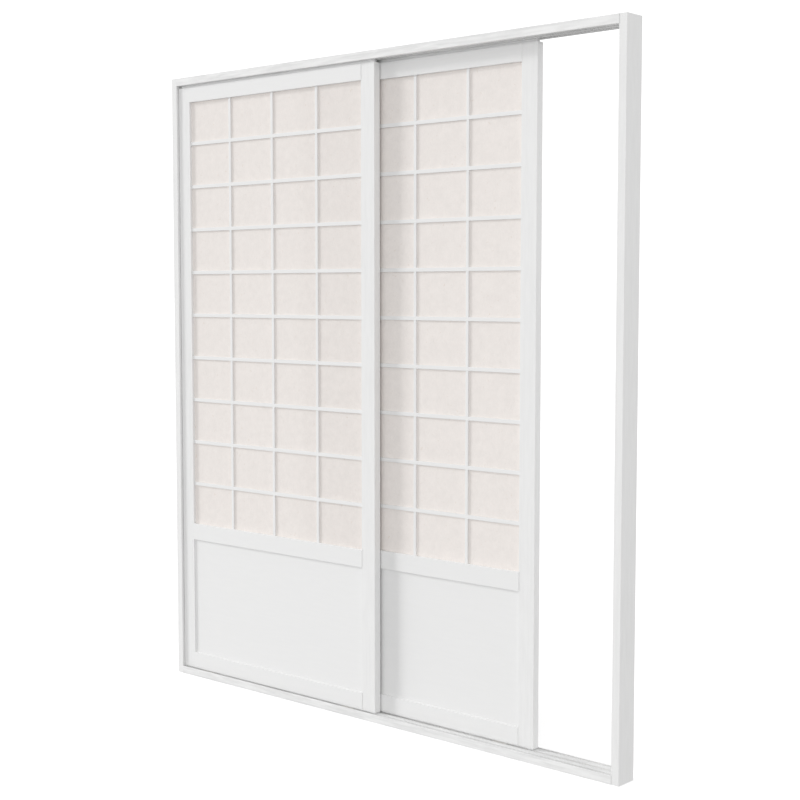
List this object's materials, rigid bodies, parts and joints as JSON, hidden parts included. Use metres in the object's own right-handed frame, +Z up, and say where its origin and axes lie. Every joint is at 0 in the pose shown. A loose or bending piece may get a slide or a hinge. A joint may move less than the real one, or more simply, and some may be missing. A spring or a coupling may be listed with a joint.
{
  "type": "sliding door",
  "caption": "Bypass sliding door in a grooved frame: latticed doors with paper above and a plain panel below slide past each other on parallel tracks.",
  "frame": {"origin": "middle of the frame's footprint, on the floor", "axes": "+X along the width to the right seen from the front, -Y towards the front, +Z up"},
  "size_m": [1.8288, 0.074, 2.0447],
  "materials": {
    "painted_wood": "satin white paint over wood, faint lengthwise grain",
    "paper": "matt, warm white with fine fibres",
    "glide_plastic": "matt white nylon",
    "bare_wood": "bare hardwood"
  },
  "bodies": {
    "frame": {"left_jamb": "painted_wood", "right_jamb": "painted_wood", "head": "painted_wood", "sill": "painted_wood", "frame_dowels": "bare_wood"},
    "front_door": {"front_left_stile": "painted_wood", "front_right_stile": "painted_wood", "front_top_rail": "painted_wood", "front_mid_rail": "painted_wood", "front_bottom_rail": "painted_wood", "front_lower_panel": "painted_wood", "front_paper": "paper", "front_back_lattice": "painted_wood", "front_glides": "glide_plastic", "front_upright_1": "painted_wood", "front_upright_2": "painted_wood", "front_upright_3": "painted_wood", "front_crossbar_1": "painted_wood", "front_crossbar_2": "painted_wood", "front_crossbar_3": "painted_wood", "front_crossbar_4": "painted_wood", "front_crossbar_5": "painted_wood", "front_crossbar_6": "painted_wood", "front_crossbar_7": "painted_wood", "front_crossbar_8": "painted_wood", "front_crossbar_9": "painted_wood"},
    "rear_door": {"rear_left_stile": "painted_wood", "rear_right_stile": "painted_wood", "rear_top_rail": "painted_wood", "rear_mid_rail": "painted_wood", "rear_bottom_rail": "painted_wood", "rear_lower_panel": "painted_wood", "rear_paper": "paper", "rear_back_lattice": "painted_wood", "rear_glides": "glide_plastic", "rear_upright_1": "painted_wood", "rear_upright_2": "painted_wood", "rear_upright_3": "painted_wood", "rear_crossbar_1": "painted_wood", "rear_crossbar_2": "painted_wood", "rear_crossbar_3": "painted_wood", "rear_crossbar_4": "painted_wood", "rear_crossbar_5": "painted_wood", "rear_crossbar_6": "painted_wood", "rear_crossbar_7": "painted_wood", "rear_crossbar_8": "painted_wood", "rear_crossbar_9": "painted_wood"}
  },
  "joints": [
    {"name": "front_door_slide", "type": "slide", "parent": "frame", "child": "front_door", "axis": [1, 0, 0], "range_m": [-0.001, 0.8733]},
    {"name": "rear_door_slide", "type": "slide", "parent": "frame", "child": "rear_door", "axis": [1, 0, 0], "range_m": [-0.5854, 0.2889]}
  ]
}
